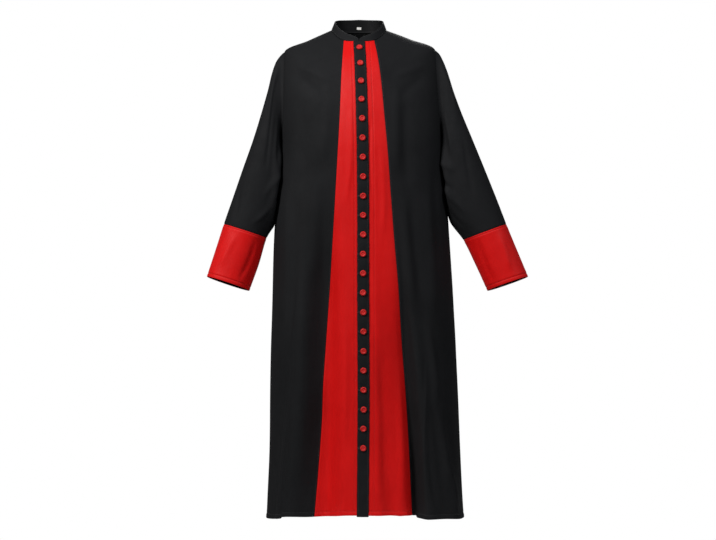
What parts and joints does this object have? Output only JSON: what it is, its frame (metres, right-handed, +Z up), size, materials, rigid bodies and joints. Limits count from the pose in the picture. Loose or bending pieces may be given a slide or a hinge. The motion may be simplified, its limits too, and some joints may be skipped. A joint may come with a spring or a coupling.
{
  "type": "pulpit robe",
  "caption": "Full-length black pulpit robe with red front gores, covered buttons down a placket, band collar and deep red cuffs, hollow as worn.",
  "frame": {"origin": "middle of the neck opening, level with the inner ends of the shoulder seams, where the wearer's shoulders carry the robe", "axes": "+Z up, the front faces -Y, the wearer's left is +X"},
  "size_m": [0.9235, 0.3392, 1.4501],
  "materials": {
    "black_cloth": "matt polyester twill",
    "red_cloth": "soft satin-faced polyester, slight sheen",
    "button_cloth": "red cloth drawn over a button mould",
    "label_cloth": "plain woven tape, bare"
  },
  "bodies": {
    "root": {"front_left": "black_cloth", "front_right": "black_cloth", "red_panel_left": "red_cloth", "red_panel_right": "red_cloth", "placket": "black_cloth", "back": "black_cloth", "sleeve_left": "black_cloth", "sleeve_right": "black_cloth", "cuff_left": "red_cloth", "cuff_right": "red_cloth", "collar": "black_cloth", "neck_label": "label_cloth", "button_01": "button_cloth", "button_02": "button_cloth", "button_03": "button_cloth", "button_04": "button_cloth", "button_05": "button_cloth", "button_06": "button_cloth", "button_07": "button_cloth", "button_08": "button_cloth", "button_09": "button_cloth", "button_10": "button_cloth", "button_11": "button_cloth", "button_12": "button_cloth", "button_13": "button_cloth", "button_14": "button_cloth", "button_15": "button_cloth", "button_16": "button_cloth", "button_17": "button_cloth", "button_18": "button_cloth", "button_19": "button_cloth", "button_20": "button_cloth", "button_21": "button_cloth", "button_22": "button_cloth"}
  },
  "joints": []
}
